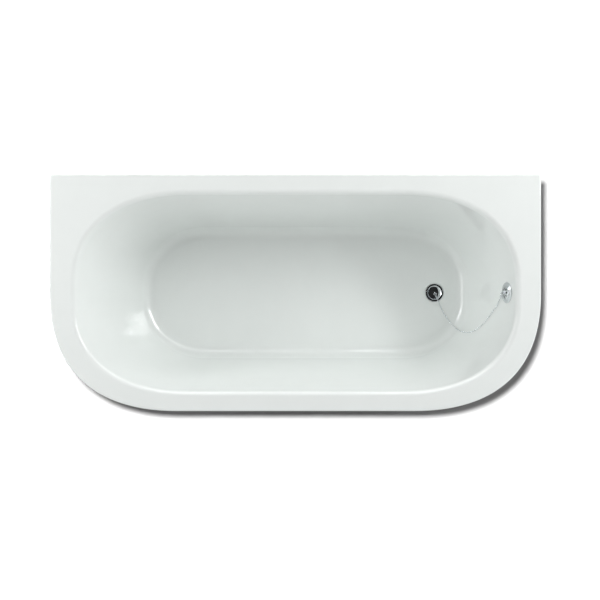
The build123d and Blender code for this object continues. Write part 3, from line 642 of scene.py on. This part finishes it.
@dataclass
class BallChain:
    """The waste's ball chain, which hangs from the overflow rose and ends at the plug."""

    ball_diameter: float = 3.6 * MM
    pitch: float = 4.7 * MM
    link_diameter: float = 1.1 * MM
    real_length: float = 0.5056
    around: int = 14
    rings_on_ball: int = 9
    # The route in millimetres, from the coupling on the rose down to the coupling on the plug
    route: tuple[tuple[float, float, float], ...] = (
        (719.4, -18.6, 468.9),
        (716.7, -43.5, 443.1),
        (710.5, -62.0, 415.5),
        (699.5, -89.0, 385.0),
        (686.0, -114.5, 357.5),
        (670.5, -135.0, 328.0),
        (655.0, -147.3, 291.5),
        (642.8, -151.0, 251.5),
        (634.6, -148.6, 213.0),
        (629.0, -143.9, 183.5),
        (622.5, -137.3, 164.5),
        (614.0, -127.3, 153.2),
        (604.0, -114.0, 147.3),
        (592.5, -98.5, 145.3),
        (581.0, -80.5, 145.3),
        (571.0, -61.0, 145.4),
        (563.5, -43.5, 145.6),
        (558.5, -30.0, 146.5),
        (554.3, -20.5, 147.3),
    )

    def build(self) -> None:
        """Thread the balls on their links and hang the chain between the rose and the plug."""
        route = [Vector(point) * MM for point in self.route]
        line = smooth_line("chain_line", route)
        track = Track(line)
        balls = round(track.length / self.pitch)
        pitch = track.length / balls
        radius, neck = self.ball_diameter / 2, self.link_diameter / 2
        shut = math.asin(neck / radius)
        stations = [(0.0, neck)]
        for ball in range(balls):
            middle = (ball + 0.5) * pitch
            for i in range(self.rings_on_ball):
                turn = shut + (math.pi - 2 * shut) * i / (self.rings_on_ball - 1)
                stations.append((middle - radius * math.cos(turn), radius * math.sin(turn)))
        stations.append((track.length, neck))
        chain = track.tube("ball_chain", stations, self.around)
        CHROME.coat(chain)
        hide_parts("plug_chain")
        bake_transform(chain)
        log.info("ball chain: %d balls, %.1f mm", balls, track.length / MM)


@dataclass
class OverflowHose:
    """The corrugated hose from the overflow down to the waste."""

    node: str = "overflow_hose"
    radius: float = 14.0 * MM
    groove: float = 1.6 * MM
    pitch: float = 4.6 * MM
    cuff: float = 24.0 * MM
    around: int = 36
    bend_radius: float = 138.0 * MM
    bend_steps: int = 48
    rings_on_rib: int = 6

    def line(self) -> list[Vector]:
        """Lead the hose's centreline down, round one bend and along to the waste.

        Returns:
            The points of the line, from the overflow.
        """
        low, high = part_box(self.node)
        x, z = high.x - self.radius, low.z + self.radius
        centre = Vector((x - self.bend_radius, 0, z + self.bend_radius))
        points = [Vector((x, 0, high.z))]
        for i in range(self.bend_steps + 1):
            turn = math.radians(90) * i / self.bend_steps
            points.append(centre + Vector((math.cos(turn), 0, -math.sin(turn))) * self.bend_radius)
        points.append(Vector((low.x, 0, z)))
        return points

    def build(self) -> None:
        """Sweep the corrugated hose, with plain cuffs where it is pushed on."""
        track = Track(self.line())
        stations = [(0.0, self.radius), (self.cuff, self.radius)]
        ribs = int((track.length - 2 * self.cuff) / self.pitch)
        pitch = (track.length - 2 * self.cuff) / ribs
        for i in range(1, ribs * self.rings_on_rib):
            wave = 0.5 - 0.5 * math.cos(2 * math.pi * i / self.rings_on_rib)
            stations.append((self.cuff + pitch * i / self.rings_on_rib, self.radius - self.groove * wave))
        stations += [(track.length - self.cuff, self.radius), (track.length, self.radius)]
        hose = track.tube("corrugated_hose", stations, self.around)
        HOSE_PLASTIC.coat(hose)
        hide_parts(self.node)
        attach(hose, "root")
        log.info("overflow hose: %d ribs", ribs)


@dataclass
class LevellingLegs:
    """The four threaded studs, each pressed into its pad."""

    pad_socket_floor: float = 4.0 * MM
    stud_radius: float = 6.0 * MM
    thread_pitch: float = 1.75 * MM
    thread_depth: float = 0.95 * MM
    hex_low: float = 14.0 * MM
    hex_high: float = 21.0 * MM
    hex_chamfer: float = 0.7 * MM
    hex_across_flats: float = 17.0 * MM
    around: int = 48
    rings_in_turn: int = 6

    def circle(self, centre: Vector, radius: float) -> list[Vector]:
        """Return one round ring of points."""
        return [centre + Vector((math.cos(t), math.sin(t), 0)) * radius for t in whole_turn(self.around)]

    def hexagon(self, centre: Vector, limit: float) -> list[Vector]:
        """Draw one six-sided ring of points, with its corners cut round.

        Args:
            centre: the middle of the ring.
            limit: the radius that its corners are cut to.

        Returns:
            The points of the ring.
        """
        ring = []
        for turn in whole_turn(self.around):
            off_flat = (turn + math.pi / 6) % (math.pi / 3) - math.pi / 6
            radius = min(self.hex_across_flats / 2 / math.cos(off_flat), limit)
            ring.append(centre + Vector((math.cos(turn), math.sin(turn), 0)) * radius)
        return ring

    def thread(self, centre: Vector, low: float, high: float) -> list[list[Vector]]:
        """Cut a screw thread between two heights.

        Args:
            centre: the foot of the stud's axis.
            low: the height where the thread begins, with no depth yet.
            high: the height of the stud's bevelled tip.

        Returns:
            The rings of points, upwards.
        """
        step = self.thread_pitch / self.rings_in_turn
        count = int((high - low) / step)
        rings = []
        for r in range(count + 1):
            z = low + (high - low) * r / count
            fade = min(1.0, r / self.rings_in_turn)
            bevel = max(0.0, self.thread_depth - (high - z))
            ring = []
            for i, turn in enumerate(whole_turn(self.around)):
                share = (z / self.thread_pitch - i / self.around) % 1.0
                depth = self.thread_depth * abs(2 * share - 1) * fade
                radius = self.stud_radius - max(depth, bevel)
                ring.append(centre + Vector((math.cos(turn) * radius, math.sin(turn) * radius, z)))
            rings.append(ring)
        return rings

    def build(self, end: End, side: Side) -> None:
        """Cut one stud's thread and its spanner hexagon.

        Args:
            end: the end of the bath that it stands under.
            side: the side of the bath that it stands under.
        """
        node = f"leg_stud_{end.value}_{side.value}"
        low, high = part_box(node)
        centre = Vector(((low.x + high.x) / 2, (low.y + high.y) / 2, 0))
        up = Vector((0, 0, 1))
        plain = self.stud_radius - self.thread_depth / 2
        corner = self.hex_across_flats / 2 / math.cos(math.pi / 6)
        chamfered = corner - self.hex_chamfer
        rings = [
            self.circle(centre + up * self.pad_socket_floor, plain),
            self.circle(centre + up * self.hex_low, plain),
            self.hexagon(centre + up * self.hex_low, chamfered),
            self.hexagon(centre + up * (self.hex_low + self.hex_chamfer), corner),
            self.hexagon(centre + up * (self.hex_high - self.hex_chamfer), corner),
            self.hexagon(centre + up * self.hex_high, chamfered),
            self.circle(centre + up * self.hex_high, self.stud_radius),
        ]
        rings += self.thread(centre, self.hex_high, high.z)[1:]
        stud = new_mesh(f"threaded_stud_{end.value}_{side.value}", *skin(rings))
        sharpen(stud)
        ZINC.coat(stud)
        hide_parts(node)
        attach(stud, f"leg_{end.value}_{side.value}")
        log.info("%s: threaded", stud.name)


@dataclass
class PackedPieces:
    """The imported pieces, each dressed by its slot or as an exception. Some are replaced afterwards."""

    finishes: dict[str, Finish]
    exceptions: dict[str, Finish]

    def dress(self) -> None:
        """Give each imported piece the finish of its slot."""
        slots = {row["node"]: row["material_slot"] for row in frame["record"]["subparts"]}
        for name, piece in frame["nodes"].items():
            finish = self.exceptions.get(name, self.finishes[slots[name]])
            finish.coat(piece)
            log.info("%s: %s", name, finish.name)


@dataclass(frozen=True)
class Lobe:
    """A soft patch of light on the studio's walls, far away. Its angles are in degrees."""

    azimuth: float
    elevation: float
    strength: float
    sharpness: float = 8.0


@dataclass(frozen=True)
class Softbox:
    """A rectangular lamp with an even face, turned towards the bath. Its angles are in degrees.

    One that is only mirrored shows in reflections and adds no light of its own.
    """

    azimuth: float
    elevation: float
    radiance: float
    width: float = 1.6
    height: float = 0.7
    distance: float = 3.0
    only_mirrored: bool = False


def direction(azimuth: float, elevation: float) -> Vector:
    """Return the unit vector towards an azimuth, counted from +X, and an elevation, in degrees."""
    turn, rise = math.radians(azimuth), math.radians(elevation)
    return Vector((math.cos(turn) * math.cos(rise), math.sin(turn) * math.cos(rise), math.sin(rise)))


@dataclass
class Studio:
    """A white floor, a white surround and the soft light of a studio, with the photograph's camera."""

    camera_height: float = 3.28
    camera_lens: float = 48.0
    frame_pixels: float = 600.0
    # Where the photograph shows the middle of the bath's rim
    middle_pixel: tuple[float, float] = (295.4, 292.7)
    floor_size: float = 60.0
    background: float = 1.0
    # The floor's lamp hangs beside the camera, so the shadow peeps out at the waste end and the front
    floor_lamp: tuple[float, float, float] = (-0.1, 0.13, 3.28)
    floor_lamp_radius: float = 0.075
    # Over 1, so that the lit floor is white right up to the shadow
    floor_radiance: float = 1.4
    floor_albedo: float = 0.15
    # How far out the glow that only the eye sees begins and is full
    floor_near: float = 1.15
    floor_far: float = 2.4
    flag_size: float = 6.4
    flag_height: float = 3.6
    aim: tuple[float, float, float] = (0.0, 0.0, 0.4)
    lobes: tuple[Lobe, ...] = (
        Lobe(45.0, 12.0, 1.6),
        Lobe(45.0, 45.0, 1.2),
        Lobe(180.0, 45.0, 1.32),
        Lobe(270.0, 12.0, 1.2),
        Lobe(315.0, 12.0, 1.1),
        Lobe(0.0, 90.0, 0.2),
    )
    boxes: tuple[Softbox, ...] = (
        Softbox(30.0, 38.0, 11.0, 1.4, 0.42),
        Softbox(30.0, 38.0, 17.0, 1.4, 0.42, 3.1, only_mirrored=True),
        Softbox(161.0, 34.0, 12.0, 1.1, 0.3, only_mirrored=True),
        Softbox(20.0, 22.0, 1.8),
        Softbox(60.0, 28.0, 3.5, height=1.6, only_mirrored=True),
        Softbox(90.0, 28.0, 3.5, height=1.6, only_mirrored=True),
        Softbox(120.0, 28.0, 3.5, height=1.6, only_mirrored=True),
        Softbox(150.0, 22.0, 4.8),
        Softbox(178.0, 22.0, 4.0),
    )

    def camera(self) -> None:
        """Hang the camera straight above the bath."""
        lens = bpy.data.cameras.new("camera")
        lens.lens = self.camera_lens
        lens.shift_x = 0.5 - self.middle_pixel[0] / self.frame_pixels
        lens.shift_y = self.middle_pixel[1] / self.frame_pixels - 0.5
        camera = bpy.data.objects.new("camera", lens)
        camera.location = (0, 0, self.camera_height)
        bpy.context.scene.collection.objects.link(camera)
        bpy.context.scene.camera = camera

    def surround(self) -> None:
        """Light the bath from the studio's walls, which look white to the camera and in the metal."""
        world = bpy.data.worlds.new("studio")
        bpy.context.scene.world = world
        world.use_nodes = True
        tree = world.node_tree
        tree.nodes.clear()
        towards = add_node(tree, "TexCoord").outputs["Generated"]
        level = 0.0
        for lobe in self.lobes:
            facing = add_node(tree, "VectorMath", {
                0: towards, 1: direction(lobe.azimuth, lobe.elevation),
            }, operation="DOT_PRODUCT")
            fall = add_node(tree, "Math", {
                0: facing.outputs["Value"], 1: lobe.sharpness, 2: -lobe.sharpness,
            }, operation="MULTIPLY_ADD")
            glow = add_node(tree, "Math", {0: fall.outputs[0]}, operation="EXPONENT")
            level = add_node(tree, "Math", {
                0: glow.outputs[0], 1: lobe.strength, 2: level,
            }, operation="MULTIPLY_ADD").outputs[0]
        light = add_node(tree, "Background", {"Color": WHITE, "Strength": level})
        backdrop = add_node(tree, "Background", {"Color": WHITE, "Strength": self.background})
        pick = add_node(tree, "MixShader", {0: seen_ray(tree), 1: light.outputs[0], 2: backdrop.outputs[0]})
        add_node(tree, "OutputWorld", {"Surface": pick.outputs[0]})

    def softbox(self, box: Softbox, number: int) -> None:
        """Hang one softbox, out of the camera's sight.

        Args:
            box: where it hangs, its size and the light it gives.
            number: its number, for its name.
        """
        light = bpy.data.lights.new(f"softbox_{number}", "AREA")
        light.shape = "RECTANGLE"
        light.size = box.width
        light.size_y = box.height
        # A lamp of even radiance L gives pi L watts from each square metre of its face
        light.energy = math.pi * box.radiance * box.width * box.height
        towards = direction(box.azimuth, box.elevation)
        lamp = bpy.data.objects.new(light.name, light)
        lamp.location = Vector(self.aim) + towards * box.distance
        lamp.rotation_euler = towards.to_track_quat("Z", "Y").to_euler()
        lamp.visible_camera = False
        lamp.visible_diffuse = not box.only_mirrored
        bpy.context.scene.collection.objects.link(lamp)

    def flag(self) -> None:
        """Hang the black flag over the camera, which the chrome and the polished coat reflect."""
        flag = level_square("overhead_flag", self.flag_size, self.flag_height, faces_up=False)
        VELVET.coat(flag)
        flag.visible_camera = False
        flag.visible_diffuse = False
        flag.visible_shadow = False

    def floor(self) -> None:
        """Lay the floor, which its own lamp lights to white but for the bath's shadow.

        The lamp lights nothing else. Past its reach the floor glows white for the eye alone.
        """
        floor = level_square("floor", self.floor_size, 0.0, faces_up=True)
        paint = bpy.data.materials.new("floor_paint")
        paint.use_nodes = True
        tree = paint.node_tree
        tree.nodes.clear()
        grey = (self.floor_albedo, self.floor_albedo, self.floor_albedo, 1.0)
        matte = add_node(tree, "BsdfDiffuse", {"Color": grey})
        place = add_node(tree, "TexCoord").outputs["Object"]
        reach = add_node(tree, "VectorMath", {0: place}, operation="LENGTH")
        beyond = add_node(tree, "MapRange", {
            "Value": reach.outputs["Value"], "From Min": self.floor_near, "From Max": self.floor_far,
        })
        strength = add_node(tree, "Math", {
            0: beyond.outputs["Result"], 1: seen_ray(tree),
        }, operation="MULTIPLY")
        glow = add_node(tree, "Emission", {"Strength": strength.outputs[0]})
        both = add_node(tree, "AddShader", {0: matte.outputs[0], 1: glow.outputs[0]})
        add_node(tree, "OutputMaterial", {"Surface": both.outputs[0]})
        floor.data.materials.append(paint)
        light = bpy.data.lights.new("floor_lamp", "POINT")
        # A lamp of P watts, h metres up, gives a floor of albedo a the radiance a P / (2 pi h)**2
        light.energy = self.floor_radiance * (2 * math.pi * self.floor_lamp[2]) ** 2 / self.floor_albedo
        light.shadow_soft_size = self.floor_lamp_radius
        lamp = bpy.data.objects.new("floor_lamp", light)
        lamp.location = self.floor_lamp
        bpy.context.scene.collection.objects.link(lamp)
        lit = bpy.data.collections.new("lit_by_floor_lamp")
        lit.objects.link(floor)
        lamp.light_linking.receiver_collection = lit

    def build(self) -> None:
        """Set up the studio."""
        self.camera()
        self.surround()
        self.floor()
        self.flag()
        for number, box in enumerate(self.boxes, 1):
            self.softbox(box, number)
        bpy.context.scene.view_settings.view_transform = "Standard"


FINISHES = {
    "stone_resin": GEL_COAT,
    "chrome": CHROME,
    "zinc_steel": ZINC,
    "brass_inserts": BRASS,
    "seal_rubber": RUBBER,
    "white_plastic": POLYPROPYLENE,
    "hose_plastic": HOSE_PLASTIC,
    "pad_plastic": NYLON,
}
# The elbow is painted black as painted shade, so that the rose's holes look dark
EXCEPTIONS = {"overflow_elbow": ELBOW_SHADE_BLACK}


def main() -> None:
    """Build the bath's looks and the studio."""
    logging.basicConfig(level=logging.INFO, format="%(name)s %(message)s")
    Studio().build()
    PackedPieces(FINISHES, EXCEPTIONS).dress()
    WasteFlange().build()
    BallChain().build()
    OverflowHose().build()
    legs = LevellingLegs()
    for end in End:
        for side in Side:
            legs.build(end, side)


if __name__ == "__main__":
    main()
